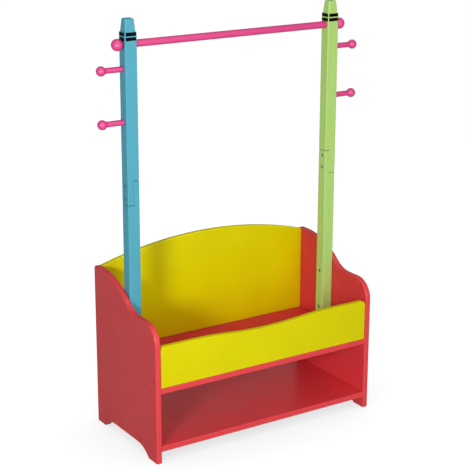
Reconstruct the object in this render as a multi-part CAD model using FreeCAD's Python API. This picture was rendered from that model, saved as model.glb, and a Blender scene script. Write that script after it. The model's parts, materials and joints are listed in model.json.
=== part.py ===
# Children's clothes rack: two crayon posts with a hanging rail, standing in an open toy box.
# Millimetres. X runs to the right, Y to the back, Z up. The origin is on the floor, under the middle.
import FreeCAD, Part
import math
import os

Vector = FreeCAD.Vector

# Boards of the base
width = 650
depth = 313
board = 15
edge_round = 3.5
shelf_edge_round = 2
front_panel_edge_round = 2

# Side panels: front hump, valley and sweep up to the rear, with an arch between two feet
side_above_front_panel = 54
front_corner = 52
rear_corner = 8
valley_from_front = 94
sweep_rise = 71
sweep_from_rear = 31
sweep_share = 0.73
foot_length = 42
arch_height = 24
arch_run = 55

# Toy box between the side panels, and the shelf under it
shelf_underside = 28
floor_top = 196
front_inset = 3
front_panel_height = 107
front_panel_corner = 11
scoop_depth = 10
scoop_length = 430
back_end_drop = 2
back_crown = 45

# Posts, each in two halves that overlap in a half-lap joint
post_wide = 32
post_deep = 30
post_edge_round = 2
post_from_front = 166
lower_post_length = 484
upper_post_length = 451
lap_length = 62
lap_outer_share = 0.55
lap_ease = 1
lap_end_gap = 1
tip_height = 32
tip_shoulder = 1.8
tip_top_wide = 23.5
tip_top_deep = 22
tip_corner = 4.5
tip_edge_round = 3.5

# Black bands round each post, under the tip
band_below_tip = 0.4
band_height = 8.2
band_gap = 3
band_film = 0.3

# Hanging rail with a knob at each end
rail_diameter = 18
rail_below_bands = 0.2
knob_diameter = 29
knob_seat_diameter = 13

# Pegs on the outer faces of the posts
peg_below_rail = 58
peg_spacing = 128
peg_shank_diameter = 14
peg_ball_diameter = 24
peg_reach = 57
peg_cove = 3

# Screws from the side panels into the ends of the boards
screw_from_edge = 56
front_screw_above_floor = 15
front_screw_below_top = 26
back_screw_above_floor = 30
back_screw_below_top = 60
screw_head_diameter = 7
screw_head_height = 3.5
screw_shank_diameter = 4
screw_reach = 30
screw_socket_width = 3
screw_socket_depth = 2

# Bolts: through the lap joints, and from the posts into the side panels
bolt_head_diameter = 10
bolt_head_height = 3
bolt_sink = 2
bolt_shank_diameter = 6
bolt_socket_width = 4
bolt_socket_depth = 2
lap_bolt_spacing = 32
sleeve_diameter = 8
sleeve_reach = 14
post_bolt_low = 48
post_bolt_high = 150
insert_diameter = 10
insert_skin = 4

# Studs that hold the rail, its knobs and the pegs
rail_stud_diameter = 6
rail_stud_in_rail = 25
rail_stud_in_knob = 14
peg_stud_diameter = 5
peg_stud_in_post = 20
peg_stud_in_peg = 22

# Fits and cuts
fit_clearance = 0.15
head_sink = 0.3
overrun = 2
same_point = 0.001

# Places worked out from the sizes above
front = -depth / 2
rear = depth / 2
inner_face = width / 2 - board
inner_width = 2 * inner_face
board_front = front + front_inset
front_panel_top = floor_top + front_panel_height
side_front_height = front_panel_top + side_above_front_panel
side_rear_height = side_front_height + sweep_rise
back_end_top = side_rear_height - back_end_drop
post_y = front + post_from_front
post_x = inner_face - post_wide / 2
post_inner_face = inner_face - post_wide
lap_x = inner_face - lap_outer_share * post_wide
lower_post_top = floor_top + lower_post_length
lap_top = lower_post_top + lap_end_gap
lap_bottom = lap_top - lap_length
upper_post_bottom = lap_bottom + lap_end_gap
post_top = upper_post_bottom + upper_post_length
tip_base = post_top - tip_height
upper_band_bottom = tip_base - band_below_tip - band_height
lower_band_bottom = upper_band_bottom - band_gap - band_height
rail_z = lower_band_bottom - rail_below_bands - rail_diameter / 2
peg_heights = {"upper": rail_z - peg_below_rail, "lower": rail_z - peg_below_rail - peg_spacing}
lap_bolt_heights = [(lap_top + lap_bottom + side * lap_bolt_spacing) / 2 for side in (-1, 1)]
post_bolt_heights = [floor_top + post_bolt_low, floor_top + post_bolt_high]
insert_length = board - insert_skin

RIGHT = Vector(1, 0, 0)
LEFT = Vector(-1, 0, 0)
UP = Vector(0, 0, 1)
# A flat outline drawn in X and Y is stood up facing sideways, or facing the front.
FACING_SIDE = FreeCAD.Rotation(Vector(1, 1, 1), 120)
FACING_FRONT = FreeCAD.Rotation(RIGHT, 90)


def mirrored(shape):
    return shape.mirror(Vector(0, 0, 0), RIGHT)


def both_sides(shapes):
    return shapes + [mirrored(shape) for shape in shapes]


def rod(diameter, start, direction, length):
    return Part.makeCylinder(diameter / 2, length, start, direction)


def hole(diameter, start, direction, length):
    """A bore with its running clearance, to be cut away."""
    return rod(diameter + 2 * fit_clearance, start, direction, length)


def arc(u, v, radius, start, end):
    """An arc about (u, v) in an outline, between two angles in degrees."""
    angles = [math.radians(angle) for angle in (start, (start + end) / 2, end)]
    return Part.Arc(*[Vector(u + radius * math.cos(a), v + radius * math.sin(a), 0) for a in angles])


def outline(*stretches):
    """A closed face whose points and arcs are joined, in order, by straight lines."""
    starts = [item if isinstance(item, Vector) else item.StartPoint for item in stretches]
    ends = [item if isinstance(item, Vector) else item.EndPoint for item in stretches]
    edges = []
    for item, end, following in zip(stretches, ends, starts[1:] + starts[:1]):
        if not isinstance(item, Vector):
            edges.append(item.toShape())
        if end.distanceToPoint(following) > same_point:
            edges.append(Part.LineSegment(end, following).toShape())
    return Part.Face(Part.Wire(edges))


def stood_up(face, rotation, place):
    """A board cut to an outline, stood up with its first face at the given place."""
    solid = face.extrude(Vector(0, 0, board))
    solid.Placement = FreeCAD.Placement(place, rotation)
    return solid


def hex_socket(across_flats, start, direction, depth_of_socket):
    corner = across_flats / math.sqrt(3)
    points = [Vector(corner * math.cos(math.radians(60 * i)), corner * math.sin(math.radians(60 * i)), 0)
              for i in range(6)]
    prism = Part.Face(Part.makePolygon(points + points[:1])).extrude(Vector(0, 0, depth_of_socket))
    prism.Placement = FreeCAD.Placement(start, FreeCAD.Rotation(UP, direction))
    return prism


# Side panels

def arch_arcs():
    """The two arcs that turn the arch over the gap between the feet."""
    radius = (arch_run ** 2 + arch_height ** 2) / (2 * arch_height)
    foot_angle = math.degrees(math.atan2(radius - arch_height, arch_run))
    centre_v = arch_height - radius
    reach = foot_length + arch_run
    return (arc(rear - reach, centre_v, radius, foot_angle, 90),
            arc(front + reach, centre_v, radius, 90, 180 - foot_angle))


def side_outline():
    run = depth - valley_from_front - sweep_from_rear
    turn = math.degrees(2 * math.atan2(sweep_rise, run))
    radii = (run ** 2 + sweep_rise ** 2) / (2 * sweep_rise)
    sweep_radius = sweep_share * radii
    valley_radius = radii - sweep_radius
    rear_arch, front_arch = arch_arcs()
    return outline(
        Vector(front, 0, 0),
        arc(front + front_corner, side_front_height - front_corner, front_corner, 180, 90),
        arc(front + valley_from_front, side_front_height + valley_radius, valley_radius, -90, turn - 90),
        arc(rear - sweep_from_rear, side_rear_height - sweep_radius, sweep_radius, 90 + turn, 90),
        arc(rear - rear_corner, side_rear_height - rear_corner, rear_corner, 90, 0),
        Vector(rear, 0, 0),
        rear_arch,
        front_arch)


def screw_places():
    """Where the screws cross the side panels, in Y and Z."""
    shelf_ys = (front + screw_from_edge, rear - screw_from_edge)
    floor_screws = [(y, floor_top - board / 2) for y in shelf_ys]
    shelf_screws = [(y, shelf_underside + board / 2) for y in shelf_ys]
    front_zs = (floor_top + front_screw_above_floor, front_panel_top - front_screw_below_top)
    back_zs = (floor_top + back_screw_above_floor, side_rear_height - back_screw_below_top)
    front_screws = [(board_front + board / 2, z) for z in front_zs]
    back_screws = [(rear - board / 2, z) for z in back_zs]
    return floor_screws + shelf_screws + front_screws + back_screws


def side_panel():
    panel = stood_up(side_outline(), FACING_SIDE, Vector(inner_face, 0, 0))
    long_edges = [edge for edge in panel.Edges
                  if edge.BoundBox.XLength < same_point and edge.CenterOfMass.z > arch_height]
    panel = panel.makeFillet(edge_round, long_edges)
    cuts = []
    for y, z in screw_places():
        outside = Vector(width / 2, y, z)
        cuts.append(hole(screw_head_diameter, outside, LEFT, screw_head_height + head_sink))
        cuts.append(hole(screw_shank_diameter, outside, LEFT, board + overrun))
    for z in post_bolt_heights:
        seat = Vector(inner_face, post_y, z)
        cuts.append(hole(insert_diameter, seat, RIGHT, insert_length + fit_clearance))
    return panel.cut(cuts)


# Boards between the side panels

def screw_bores(board_solid):
    """Bores for the screws in both ends of a board."""
    box = board_solid.BoundBox
    bores = []
    for y, z in screw_places():
        if box.YMin < y < box.YMax and box.ZMin < z < box.ZMax:
            start = Vector(inner_face, y, z)
            bores.append(hole(screw_shank_diameter, start, LEFT, screw_reach + fit_clearance))
    return board_solid.cut(both_sides(bores))


def level_board(underside):
    solid = Part.makeBox(inner_width, rear - board_front, board, Vector(-inner_face, board_front, underside))
    front_edges = [edge for edge in solid.Edges
                   if edge.BoundBox.XLength > board and edge.CenterOfMass.y < board_front + same_point]
    return screw_bores(solid.makeFillet(shelf_edge_round, front_edges))


def face_edges(solid):
    """The edges round both faces of a board that stands across the front."""
    return [edge for edge in solid.Edges if edge.BoundBox.YLength < same_point]


def back_panel():
    crown = Part.Arc(Vector(inner_face, back_end_top, 0), Vector(0, back_end_top + back_crown, 0),
                     Vector(-inner_face, back_end_top, 0))
    face = outline(Vector(-inner_face, floor_top, 0), Vector(inner_face, floor_top, 0), crown)
    solid = stood_up(face, FACING_FRONT, Vector(0, rear, 0))
    along_top = [edge for edge in face_edges(solid) if edge.CenterOfMass.z > back_end_top]
    return screw_bores(solid.makeFillet(edge_round, along_top))


def front_panel():
    half_scoop = scoop_length / 2
    turn = math.degrees(2 * math.atan2(scoop_depth, half_scoop))
    radius = (half_scoop ** 2 + scoop_depth ** 2) / (4 * scoop_depth)
    corner_u = inner_face - front_panel_corner
    corner_v = front_panel_top - front_panel_corner
    face = outline(
        Vector(-inner_face, floor_top, 0),
        Vector(inner_face, floor_top, 0),
        arc(corner_u, corner_v, front_panel_corner, 0, 90),
        arc(half_scoop, front_panel_top - radius, radius, 90, 90 + turn),
        arc(0, front_panel_top - scoop_depth + radius, radius, turn - 90, -turn - 90),
        arc(-half_scoop, front_panel_top - radius, radius, 90 - turn, 90),
        arc(-corner_u, corner_v, front_panel_corner, 90, 180))
    solid = stood_up(face, FACING_FRONT, Vector(0, board_front + board, 0))
    in_sight = [edge for edge in face_edges(solid)
                if edge.CenterOfMass.z > corner_v or edge.CenterOfMass.y < board_front + same_point]
    return screw_bores(solid.makeFillet(front_panel_edge_round, in_sight))


# Posts

def post_section(wide, deep, corner, z):
    """A rectangle with rounded corners, round the post's middle line."""
    u = wide / 2 - corner
    v = deep / 2 - corner
    face = outline(arc(u, v, corner, 0, 90), arc(-u, v, corner, 90, 180),
                   arc(-u, -v, corner, 180, 270), arc(u, -v, corner, 270, 360))
    face.translate(Vector(post_x, post_y, z))
    return face


def post_stretch(bottom, top):
    return post_section(post_wide, post_deep, post_edge_round, bottom).extrude(Vector(0, 0, top - bottom))


def eased_stretch(bottom, top, joint):
    """A stretch of post, with the edges eased round its end at a joint."""
    solid = post_stretch(bottom, top)
    end_edges = [edge for edge in solid.Edges
                 if edge.BoundBox.ZLength < same_point and abs(edge.CenterOfMass.z - joint) < same_point]
    return solid.makeChamfer(lap_ease, end_edges)


def beside_lap(start_x, end_x):
    """The room on one side of the lap joint's plane, to be cut away."""
    return Part.makeBox(end_x - start_x, post_deep + 2 * overrun, post_top - floor_top + 2 * overrun,
                        Vector(start_x, post_y - post_deep / 2 - overrun, floor_top - overrun))


def lap_grooves():
    """Square rods on edge along the lap's upright lines, front and back, to be cut away."""
    corners = [(lap_ease, 0, 0), (0, lap_ease, 0), (-lap_ease, 0, 0), (0, -lap_ease, 0), (lap_ease, 0, 0)]
    upright = Part.Face(Part.makePolygon(corners)).extrude(Vector(0, 0, lap_length))
    faces_y = [post_y + side * post_deep / 2 for side in (-1, 1)]
    return [upright.translated(Vector(lap_x, y, lap_bottom)) for y in faces_y]


def crayon_tip():
    base_wide = post_wide - 2 * tip_shoulder
    base_deep = post_deep - 2 * tip_shoulder
    base = post_section(base_wide, base_deep, post_edge_round, tip_base)
    top = post_section(tip_top_wide, tip_top_deep, tip_corner, post_top)
    cone = Part.makeLoft([base.OuterWire, top.OuterWire], True, True)
    top_edges = [edge for edge in cone.Edges if edge.BoundBox.ZMin > post_top - same_point]
    return cone.makeFillet(tip_edge_round, top_edges)


def lap_bores():
    """Stepped bores through the lap: bolt head outside, sleeve nut inside."""
    bores = []
    seat_depth = bolt_head_height + bolt_sink
    for z in lap_bolt_heights:
        outside = Vector(inner_face, post_y, z)
        inside = Vector(post_inner_face, post_y, z)
        bores.append(hole(bolt_head_diameter, outside, LEFT, seat_depth))
        bores.append(hole(bolt_shank_diameter, outside, LEFT, post_wide + overrun))
        bores.append(hole(bolt_head_diameter, inside, RIGHT, seat_depth))
        bores.append(hole(sleeve_diameter, inside, RIGHT, seat_depth + sleeve_reach + fit_clearance))
    return bores


def post_bolt_bores():
    bores = []
    for z in post_bolt_heights:
        inside = Vector(post_inner_face, post_y, z)
        bores.append(hole(bolt_head_diameter, inside, RIGHT, bolt_head_height + bolt_sink))
        bores.append(hole(bolt_shank_diameter, inside, RIGHT, post_wide + overrun))
    return bores


def lower_post():
    outside_lap = beside_lap(lap_x, inner_face + overrun)
    tongue = eased_stretch(floor_top, lower_post_top, lower_post_top).cut(outside_lap)
    post = eased_stretch(floor_top, lap_bottom, lap_bottom).fuse(tongue).removeSplitter()
    return post.cut(lap_grooves() + lap_bores() + post_bolt_bores())


def upper_post():
    inside_lap = beside_lap(post_inner_face - overrun, lap_x)
    tongue = eased_stretch(upper_post_bottom, tip_base, upper_post_bottom).cut(inside_lap)
    post = eased_stretch(lap_top, tip_base, lap_top).fuse([tongue, crayon_tip()]).removeSplitter()
    rail_seat = Vector(post_inner_face, post_y, rail_z)
    bores = [hole(rail_stud_diameter, rail_seat, RIGHT, post_wide + overrun)]
    for z in peg_heights.values():
        peg_seat = Vector(inner_face, post_y, z)
        bores.append(hole(peg_stud_diameter, peg_seat, LEFT, peg_stud_in_post + fit_clearance))
    return post.cut(lap_grooves() + lap_bores() + bores)


def post_bands():
    """Two bands, each of four strips that end where the post's corners are rounded."""
    strips = []
    for bottom in (lower_band_bottom, upper_band_bottom):
        wide = post_wide - 2 * post_edge_round
        deep = post_deep - 2 * post_edge_round
        for y in (post_y - post_deep / 2 - band_film, post_y + post_deep / 2):
            strips.append(Part.makeBox(wide, band_film, band_height, Vector(post_x - wide / 2, y, bottom)))
        for x in (post_inner_face - band_film, inner_face):
            strips.append(Part.makeBox(band_film, deep, band_height, Vector(x, post_y - deep / 2, bottom)))
    return Part.makeCompound(strips)


# Rail, knobs and pegs

def hanging_rail():
    start = Vector(-post_inner_face, post_y, rail_z)
    end = Vector(post_inner_face, post_y, rail_z)
    rail = rod(rail_diameter, start, RIGHT, 2 * post_inner_face)
    bore = hole(rail_stud_diameter, end, LEFT, rail_stud_in_rail + fit_clearance)
    return rail.cut(both_sides([bore]))


def turned(face, z):
    """A profile drawn with its axis along X, turned round and set on the post's outer face."""
    solid = face.revolve(Vector(0, 0, 0), RIGHT, 360)
    solid.translate(Vector(inner_face, post_y, z))
    return solid


def rail_knob():
    radius = knob_diameter / 2
    seat = knob_seat_diameter / 2
    centre = math.sqrt(radius ** 2 - seat ** 2)
    seat_angle = 180 - math.degrees(math.asin(seat / radius))
    knob = turned(outline(arc(centre, 0, radius, 0, seat_angle), Vector(0, 0, 0)), rail_z)
    seat_middle = Vector(inner_face, post_y, rail_z)
    return knob.cut(hole(rail_stud_diameter, seat_middle, RIGHT, rail_stud_in_knob + fit_clearance))


def peg(z):
    """A turned peg: straight shank, a cove, and a ball."""
    radius = peg_ball_diameter / 2
    shank = peg_shank_diameter / 2
    cove_v = shank + peg_cove
    cove_u = peg_reach - math.sqrt((radius + peg_cove) ** 2 - cove_v ** 2)
    meeting_angle = math.degrees(math.atan2(cove_v, peg_reach - cove_u))
    profile = outline(Vector(0, 0, 0), arc(peg_reach, 0, radius, 0, 180 - meeting_angle),
                      arc(cove_u, cove_v, peg_cove, -meeting_angle, -90), Vector(0, shank, 0))
    bore = hole(peg_stud_diameter, Vector(inner_face, post_y, z), RIGHT, peg_stud_in_peg + fit_clearance)
    return turned(profile, z).cut(bore)


# Fasteners

def headed(head_diameter, head_height, shank_diameter, shank_length, socket, place, direction):
    """A fastener with its head's outer face at the place, and its shank running in along the direction."""
    socket_width, socket_depth = socket
    under_head = place + direction * head_height
    solid = rod(head_diameter, place, direction, head_height)
    solid = solid.fuse(rod(shank_diameter, under_head, direction, shank_length)).removeSplitter()
    return solid.cut(hex_socket(socket_width, place, direction, socket_depth))


def panel_screws():
    shank = board - head_sink - screw_head_height + screw_reach
    socket = (screw_socket_width, screw_socket_depth)
    return [headed(screw_head_diameter, screw_head_height, screw_shank_diameter, shank, socket,
                   Vector(width / 2 - head_sink, y, z), LEFT) for y, z in screw_places()]


def lap_bolts():
    """Bolts from the outer face, reaching through the lap into the sleeve nuts."""
    shank = post_wide - 2 * (bolt_head_height + bolt_sink)
    socket = (bolt_socket_width, bolt_socket_depth)
    return [headed(bolt_head_diameter, bolt_head_height, bolt_shank_diameter, shank, socket,
                   Vector(inner_face - bolt_sink, post_y, z), LEFT) for z in lap_bolt_heights]


def lap_sleeve_nuts():
    nuts = []
    for z in lap_bolt_heights:
        place = Vector(post_inner_face + bolt_sink, post_y, z)
        seat = place + RIGHT * bolt_head_height
        nut = rod(bolt_head_diameter, place, RIGHT, bolt_head_height)
        nut = nut.fuse(rod(sleeve_diameter, seat, RIGHT, sleeve_reach)).removeSplitter()
        nut = nut.cut(hole(bolt_shank_diameter, seat, RIGHT, sleeve_reach + overrun))
        nuts.append(nut.cut(hex_socket(bolt_socket_width, place, RIGHT, bolt_socket_depth)))
    return nuts


def post_bolts():
    shank = post_wide - bolt_sink - bolt_head_height + insert_length
    socket = (bolt_socket_width, bolt_socket_depth)
    return [headed(bolt_head_diameter, bolt_head_height, bolt_shank_diameter, shank, socket,
                   Vector(post_inner_face + bolt_sink, post_y, z), RIGHT) for z in post_bolt_heights]


def panel_inserts():
    inserts = []
    for z in post_bolt_heights:
        start = Vector(inner_face, post_y, z)
        sleeve = rod(insert_diameter, start, RIGHT, insert_length)
        inserts.append(sleeve.cut(hole(bolt_shank_diameter, start, RIGHT, insert_length + overrun)))
    return inserts


def rail_studs():
    start = Vector(post_inner_face - rail_stud_in_rail, post_y, rail_z)
    return [rod(rail_stud_diameter, start, RIGHT, rail_stud_in_rail + post_wide + rail_stud_in_knob)]


def peg_studs():
    return [rod(peg_stud_diameter, Vector(inner_face - peg_stud_in_post, post_y, z), RIGHT,
                peg_stud_in_post + peg_stud_in_peg) for z in peg_heights.values()]


# Every node of the assembly. What stands on both sides is modelled on the right and mirrored.
paired = {
    "side_panel": side_panel(),
    "post_lower": lower_post(),
    "post_upper": upper_post(),
    "post_bands": post_bands(),
    "rail_knob": rail_knob(),
    "upper_peg": peg(peg_heights["upper"]),
    "lower_peg": peg(peg_heights["lower"]),
    "panel_screws": Part.makeCompound(panel_screws()),
}
nodes = {
    "back_panel": back_panel(),
    "front_panel": front_panel(),
    "box_floor": level_board(floor_top - board),
    "bottom_shelf": level_board(shelf_underside),
    "hanging_rail": hanging_rail(),
    "lap_bolts": Part.makeCompound(both_sides(lap_bolts())),
    "lap_sleeve_nuts": Part.makeCompound(both_sides(lap_sleeve_nuts())),
    "post_bolts": Part.makeCompound(both_sides(post_bolts())),
    "panel_inserts": Part.makeCompound(both_sides(panel_inserts())),
    "rail_studs": Part.makeCompound(both_sides(rail_studs())),
    "peg_studs": Part.makeCompound(both_sides(peg_studs())),
}
for name, shape in paired.items():
    nodes["right_" + name] = shape
    nodes["left_" + name] = mirrored(shape)

os.makedirs("parts", exist_ok=True)
for name, shape in nodes.items():
    shape.exportStep("parts/" + name + ".step")
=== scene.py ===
# Looks of the children's clothes rack: materials, studio light and the photograph's camera.
import json
import math

import bpy
from mathutils import Matrix

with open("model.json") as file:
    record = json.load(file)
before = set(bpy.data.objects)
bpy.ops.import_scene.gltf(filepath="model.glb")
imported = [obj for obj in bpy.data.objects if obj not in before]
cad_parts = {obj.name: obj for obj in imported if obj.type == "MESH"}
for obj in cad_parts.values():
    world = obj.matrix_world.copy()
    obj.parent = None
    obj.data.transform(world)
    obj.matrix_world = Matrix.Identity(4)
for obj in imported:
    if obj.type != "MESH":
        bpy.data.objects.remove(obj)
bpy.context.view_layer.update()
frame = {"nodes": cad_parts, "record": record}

# Values of the materials: reaches and depths in metres, noise scales in features per metre

CLOUD_SCALE = 9
CLOUD_DETAIL = 3
PATCH_SCALE = 14
PEEL_SCALE = 260
PEEL_DEPTH = 0.00002
UPRIGHT_GRAIN = (210, 210, 5)
GRAIN_DETAIL = 5
GRAIN_ROUGHNESS = 0.62
GRAIN_DEPTH = 0.00003
TURNING_SCALE = 900
TURNING_DETAIL = 3
TURNING_ROUGHNESS = 0.6
TURNING_DEPTH = 0.00004

# How far a noise changes a colour, as a share of it
PAINT_CHANGE = 0.03
GRAIN_CHANGE = 0.05
METAL_CHANGE = 0.08

# The part of a noise, a facing or an occlusion over which its effect grows
NOISE_RANGE = (0.2, 0.8)
TINT_RANGE = (0.3, 0.7)
SHEEN_RANGE = (-0.2, 0.8)
CREASE_RANGE = (0.1, 0.9)
EDGE_RANGE = (0.4, 1.0)
FRONT_RANGE = (0.3, 0.9)

GRAZING_SHEEN = 0.01
# Painted shade in creases: how far its occlusion looks, and the share of colour left in the deepest
# crease
CREASE_REACH = 0.005
CREASE_SHADE = 0.3
# Painted highlight along outer edges: how far its occlusion looks
EDGE_REACH = 0.003
# The direction of the faces that get painted light
FRONT = (0, -1, 0)
PAINT_SAMPLES = 8

# Values of the stage: lengths in metres, angles in degrees, the sensor in millimetres

AMBIENT = 0.05
FLOOR_HALF = 12.0
FLOOR_DROP = 0.0005
FLOOR_BOUNCE = 0.4
FLOOR_SEEN = 0.1
FLOOR_SAMPLES = 16
# Painted shadow on the floor: how far its occlusion looks and how much it dims the emission at the feet
CONTACT_REACH = 0.40
CONTACT_SHADOW = 0.28
LAMP_AIM = (0, 0, 0.45)

PICTURE_PIXELS = 470
FOCAL_PIXELS = 1400
SENSOR_WIDTH = 36
CAMERA_PLACE = (-1.8547, -2.8730, 1.5557)
CAMERA_TURN = -32.853
CAMERA_LOOKS_DOWN = 17.234
CAMERA_ROLL = 0.2


# Node helpers

def new_material(name):
    """A material and its empty node tree."""
    material = bpy.data.materials.new(name)
    material.use_nodes = True
    tree = material.node_tree
    tree.nodes.clear()
    return material, tree


def add(tree, kind, **sockets):
    """A node with values on its inputs, where an underscore stands for a space in an input's name."""
    node = tree.nodes.new(kind)
    for key, value in sockets.items():
        node.inputs[key.replace("_", " ")].default_value = value
    return node


def link(tree, source, target):
    tree.links.new(source, target)


def combined(tree, operation, first, second):
    """One number from two, by a Math node's operation."""
    node = tree.nodes.new("ShaderNodeMath")
    node.operation = operation
    link(tree, first, node.inputs[0])
    link(tree, second, node.inputs[1])
    return node.outputs[0]


def blended(tree, value, low, high):
    """Takes 0 to low and 1 to high, in a straight line."""
    node = add(tree, "ShaderNodeMapRange", To_Min=low, To_Max=high)
    link(tree, value, node.inputs["Value"])
    return node.outputs["Result"]


def spread(tree, value, value_range, low, high):
    """Takes the ends of a value's range to low and high, without corners."""
    start, end = value_range
    node = add(tree, "ShaderNodeMapRange", From_Min=start, From_Max=end, To_Min=low, To_Max=high)
    node.interpolation_type = "SMOOTHSTEP"
    link(tree, value, node.inputs["Value"])
    return node.outputs["Result"]


def noise(tree, coordinates, scale, detail, roughness=0.5, stretch=None):
    """Noise with scale features per metre. Stretch multiplies that along each axis."""
    place = coordinates
    if stretch:
        mapping = add(tree, "ShaderNodeMapping", Scale=stretch)
        link(tree, coordinates, mapping.inputs["Vector"])
        place = mapping.outputs["Vector"]
    node = add(tree, "ShaderNodeTexNoise", Scale=scale, Detail=detail, Roughness=roughness)
    link(tree, place, node.inputs["Vector"])
    return node.outputs["Fac"]


def tint(tree, value, colour, share):
    """A colour that a noise makes darker and lighter by a share."""
    ramp = tree.nodes.new("ShaderNodeValToRGB")
    dark = [c * (1 - share) for c in colour]
    light = [min(1, c * (1 + share)) for c in colour]
    for index, shade in enumerate((dark, light)):
        ramp.color_ramp.elements[index].position = TINT_RANGE[index]
        ramp.color_ramp.elements[index].color = (*shade, 1)
    link(tree, value, ramp.inputs["Fac"])
    return ramp.outputs["Color"]


def bump(tree, height, depth, normal=None):
    """A normal with relief of a depth, on top of another normal where one is given."""
    node = add(tree, "ShaderNodeBump", Strength=1.0, Distance=depth)
    link(tree, height, node.inputs["Height"])
    if normal:
        link(tree, normal, node.inputs["Normal"])
    return node.outputs["Normal"]


def scaled(tree, colour, factor):
    """A colour times a factor."""
    node = tree.nodes.new("ShaderNodeVectorMath")
    node.operation = "SCALE"
    link(tree, colour, node.inputs["Vector"])
    link(tree, factor, node.inputs["Scale"])
    return node.outputs["Vector"]


def surface(tree, shader):
    """Makes a shader the material's surface."""
    out = tree.nodes.new("ShaderNodeOutputMaterial")
    link(tree, shader, out.inputs["Surface"])


# Materials

def painted_crease_shade(tree, colour):
    """Darkens a colour in gaps and along joints, as painted shade from their occlusion."""
    open_air = add(tree, "ShaderNodeAmbientOcclusion", Distance=CREASE_REACH)
    open_air.samples = PAINT_SAMPLES
    return scaled(tree, colour, spread(tree, open_air.outputs["AO"], CREASE_RANGE, CREASE_SHADE, 1.0))


def painted_edge_highlight(tree, colour, gain):
    """Lightens a colour along outer edges, as a painted highlight."""
    inner = add(tree, "ShaderNodeAmbientOcclusion", Distance=EDGE_REACH)
    inner.samples = PAINT_SAMPLES
    inner.inside = True
    inner.only_local = True
    return scaled(tree, colour, spread(tree, inner.outputs["AO"], EDGE_RANGE, 1 + gain, 1.0))


# Painted light: faces that look to the front are lightened as if more light fell on them.
def painted_front_light(tree, colour, gain):
    """Lightens a colour on faces that look to the front, where the photograph has lighter edges."""
    facing = tree.nodes.new("ShaderNodeVectorMath")
    facing.operation = "DOT_PRODUCT"
    facing.inputs[1].default_value = FRONT
    link(tree, tree.nodes.new("ShaderNodeTexCoord").outputs["Normal"], facing.inputs[0])
    return scaled(tree, colour, spread(tree, facing.outputs["Value"], FRONT_RANGE, 1.0, 1 + gain))


def lacquer(name, colour, sheen, gloss, edge=0, front=0, grain=None):
    """Satin paint with orange peel, roughness patches and clouds, or with grain in place of clouds.

    The edge gain paints a highlight along outer edges, and the front gain paints light on faces that
    look to the front.
    """
    material, tree = new_material(name)
    where = tree.nodes.new("ShaderNodeTexCoord").outputs["Object"]
    shader = tree.nodes.new("ShaderNodeBsdfPrincipled")
    facing = add(tree, "ShaderNodeLayerWeight", Blend=0.5).outputs["Facing"]
    gleam = spread(tree, facing, SHEEN_RANGE, sheen, GRAZING_SHEEN)
    link(tree, gleam, shader.inputs["Specular IOR Level"])
    patches = noise(tree, where, PATCH_SCALE, detail=1)
    link(tree, spread(tree, patches, NOISE_RANGE, *gloss), shader.inputs["Roughness"])
    normal = bump(tree, noise(tree, where, PEEL_SCALE, detail=1), PEEL_DEPTH)
    if grain:
        streaks = noise(tree, where, 1, GRAIN_DETAIL, GRAIN_ROUGHNESS, stretch=grain)
        normal = bump(tree, streaks, GRAIN_DEPTH, normal)
        paint = tint(tree, streaks, colour, GRAIN_CHANGE)
    else:
        paint = tint(tree, noise(tree, where, CLOUD_SCALE, CLOUD_DETAIL), colour, PAINT_CHANGE)
    # Painted highlight along outer edges
    if edge:
        paint = painted_edge_highlight(tree, paint, edge)
    # Painted light on faces that look to the front
    if front:
        paint = painted_front_light(tree, paint, front)
    # Painted shade in gaps and along joints
    link(tree, painted_crease_shade(tree, paint), shader.inputs["Base Color"])
    link(tree, normal, shader.inputs["Normal"])
    surface(tree, shader.outputs["BSDF"])
    return material


def metal(name, colour, gloss):
    """Turned metal: one fine noise changes its colour, its roughness and its relief."""
    material, tree = new_material(name)
    where = tree.nodes.new("ShaderNodeTexCoord").outputs["Object"]
    shader = add(tree, "ShaderNodeBsdfPrincipled", Metallic=1.0)
    turning = noise(tree, where, TURNING_SCALE, TURNING_DETAIL, TURNING_ROUGHNESS)
    link(tree, tint(tree, turning, colour, METAL_CHANGE), shader.inputs["Base Color"])
    link(tree, spread(tree, turning, NOISE_RANGE, *gloss), shader.inputs["Roughness"])
    link(tree, bump(tree, turning, TURNING_DEPTH), shader.inputs["Normal"])
    surface(tree, shader.outputs["BSDF"])
    return material


def linear(*screen):
    """A screen colour, 0 to 255, as linear light, by the sRGB curve."""
    shares = [c / 255 for c in screen]
    return tuple(s / 12.92 if s <= 0.04045 else ((s + 0.055) / 1.055) ** 2.4 for s in shares)


# edge and front are the shares of painted highlight on outer edges and of painted light on front faces
LACQUERS = {
    "red_board": dict(colour=linear(220, 62, 67), sheen=0.50, gloss=(0.31, 0.38), edge=0.30, front=0.18),
    "yellow_board": dict(colour=linear(230, 220, 3), sheen=0.18, gloss=(0.32, 0.40), edge=0.20),
    "blue_wood": dict(colour=linear(84, 172, 193), sheen=0.35, gloss=(0.32, 0.40), edge=0.08,
                      grain=UPRIGHT_GRAIN),
    "green_wood": dict(colour=linear(185, 225, 124), sheen=0.35, gloss=(0.32, 0.40), edge=0.10,
                       grain=UPRIGHT_GRAIN),
    "pink_wood": dict(colour=linear(227, 60, 134), sheen=1.0, gloss=(0.34, 0.42)),
    "black_film": dict(colour=linear(5, 5, 6), sheen=0.04, gloss=(0.32, 0.42)),
}
METALS = {
    "steel": dict(colour=(0.26, 0.31, 0.28), gloss=(0.40, 0.50)),
    # A darker copy of the steel: painted shade for the panel screws
    "screw_steel_painted_shade": dict(colour=(0.11, 0.06, 0.05), gloss=(0.30, 0.40)),
    "insert_brass": dict(colour=(0.62, 0.46, 0.22), gloss=(0.28, 0.42)),
}
materials = {name: lacquer(name, **look) for name, look in LACQUERS.items()}
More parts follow.
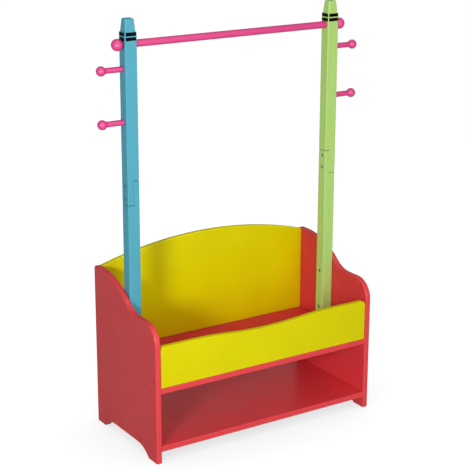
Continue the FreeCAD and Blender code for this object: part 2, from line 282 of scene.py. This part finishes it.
materials.update({name: metal(name, **look) for name, look in METALS.items()})

# The panel screws get a darker copy of the steel, as painted shade where they sit in shade. Every other
# node has the finish of its slot.
slots = {part["node"]: part["material_slot"] for part in frame["record"]["subparts"]}
for name, node in frame["nodes"].items():
    finish = "screw_steel_painted_shade" if name.endswith("panel_screws") else slots[name]
    node.data.materials.clear()
    node.data.materials.append(materials[finish])


# Stage

def seen_rays(tree):
    """1 for camera, glossy and transmission rays, 0 for the rays that carry light."""
    path = tree.nodes.new("ShaderNodeLightPath")
    direct = combined(tree, "MAXIMUM", path.outputs["Is Camera Ray"], path.outputs["Is Glossy Ray"])
    return combined(tree, "MAXIMUM", direct, path.outputs["Is Transmission Ray"])


def white_world():
    """A world that is seen as white and lights the rack faintly from all sides."""
    world = bpy.data.worlds.new("studio")
    world.use_nodes = True
    bpy.context.scene.world = world
    tree = world.node_tree
    tree.nodes.clear()
    ambient = add(tree, "ShaderNodeBackground", Color=(1, 1, 1, 1), Strength=AMBIENT)
    white = add(tree, "ShaderNodeBackground", Color=(1, 1, 1, 1), Strength=1.0)
    mix = tree.nodes.new("ShaderNodeMixShader")
    link(tree, seen_rays(tree), mix.inputs["Fac"])
    link(tree, ambient.outputs["Background"], mix.inputs[1])
    link(tree, white.outputs["Background"], mix.inputs[2])
    out = tree.nodes.new("ShaderNodeOutputWorld")
    link(tree, mix.outputs["Shader"], out.inputs["Surface"])


def white_floor():
    """A white floor whose soft shadow round the rack's feet is mostly painted shadow from occlusion, and
    partly real shadow in its faint diffuse part.
    """
    corners = [(x * FLOOR_HALF, y * FLOOR_HALF, 0) for x, y in ((-1, -1), (1, -1), (1, 1), (-1, 1))]
    mesh = bpy.data.meshes.new("studio_floor")
    mesh.from_pydata(corners, [], [(0, 1, 2, 3)])
    floor = bpy.data.objects.new("studio_floor", mesh)
    floor.location.z = -FLOOR_DROP
    bpy.context.scene.collection.objects.link(floor)
    material, tree = new_material("studio_floor")
    seen = seen_rays(tree)
    diffuse = tree.nodes.new("ShaderNodeBsdfDiffuse")
    link(tree, blended(tree, seen, FLOOR_BOUNCE, FLOOR_SEEN), diffuse.inputs["Color"])
    # Painted shadow: occlusion near the rack dims the floor's emission
    closeness = add(tree, "ShaderNodeAmbientOcclusion", Distance=CONTACT_REACH)
    closeness.samples = FLOOR_SAMPLES
    glow_with_painted_shadow = blended(tree, closeness.outputs["AO"], 1 - CONTACT_SHADOW, 1.0)
    white = tree.nodes.new("ShaderNodeEmission")
    link(tree, combined(tree, "MULTIPLY", seen, glow_with_painted_shadow), white.inputs["Strength"])
    both = tree.nodes.new("ShaderNodeAddShader")
    link(tree, diffuse.outputs["BSDF"], both.inputs[0])
    link(tree, white.outputs["Emission"], both.inputs[1])
    surface(tree, both.outputs["Shader"])
    mesh.materials.append(material)


def softbox(name, azimuth, elevation, distance, size, watts, mirrored=True):
    """A square lamp that faces the rack. Azimuth 0 stands in front, positive to the right."""
    lamp = bpy.data.lights.new(name, "AREA")
    lamp.shape = "SQUARE"
    lamp.size = size
    lamp.energy = watts
    lit = bpy.data.objects.new(name, lamp)
    lit.matrix_world = (Matrix.Translation(LAMP_AIM)
                        @ Matrix.Rotation(math.radians(azimuth), 4, "Z")
                        @ Matrix.Rotation(math.radians(90 - elevation), 4, "X")
                        @ Matrix.Translation((0, 0, distance)))
    lit.visible_glossy = mirrored
    bpy.context.scene.collection.objects.link(lit)


def photo_camera():
    """A camera that sees the rack as the photograph does."""
    camera = bpy.data.cameras.new("camera")
    camera.sensor_width = SENSOR_WIDTH
    camera.lens = SENSOR_WIDTH * FOCAL_PIXELS / PICTURE_PIXELS
    view = bpy.data.objects.new("camera", camera)
    view.matrix_world = (Matrix.Translation(CAMERA_PLACE)
                         @ Matrix.Rotation(math.radians(CAMERA_TURN), 4, "Z")
                         @ Matrix.Rotation(math.radians(90 - CAMERA_LOOKS_DOWN), 4, "X")
                         @ Matrix.Rotation(math.radians(CAMERA_ROLL), 4, "Z"))
    bpy.context.scene.collection.objects.link(view)
    bpy.context.scene.camera = view


white_world()
white_floor()
softbox("key", azimuth=-52, elevation=11, distance=3.2, size=0.5, watts=45)
softbox("near", azimuth=-16, elevation=22, distance=1.3, size=0.6, watts=2.6)
softbox("low", azimuth=-10, elevation=3, distance=3.2, size=1.2, watts=16)
softbox("front", azimuth=10, elevation=12, distance=3.2, size=1.8, watts=11)
softbox("top", azimuth=-15, elevation=68, distance=2.6, size=3.2, watts=25)
softbox("right", azimuth=97, elevation=5, distance=3.2, size=1.0, watts=36, mirrored=False)
softbox("back", azimuth=180, elevation=-2, distance=3.2, size=0.7, watts=56, mirrored=False)
photo_camera()
bpy.context.scene.view_settings.view_transform = "Standard"
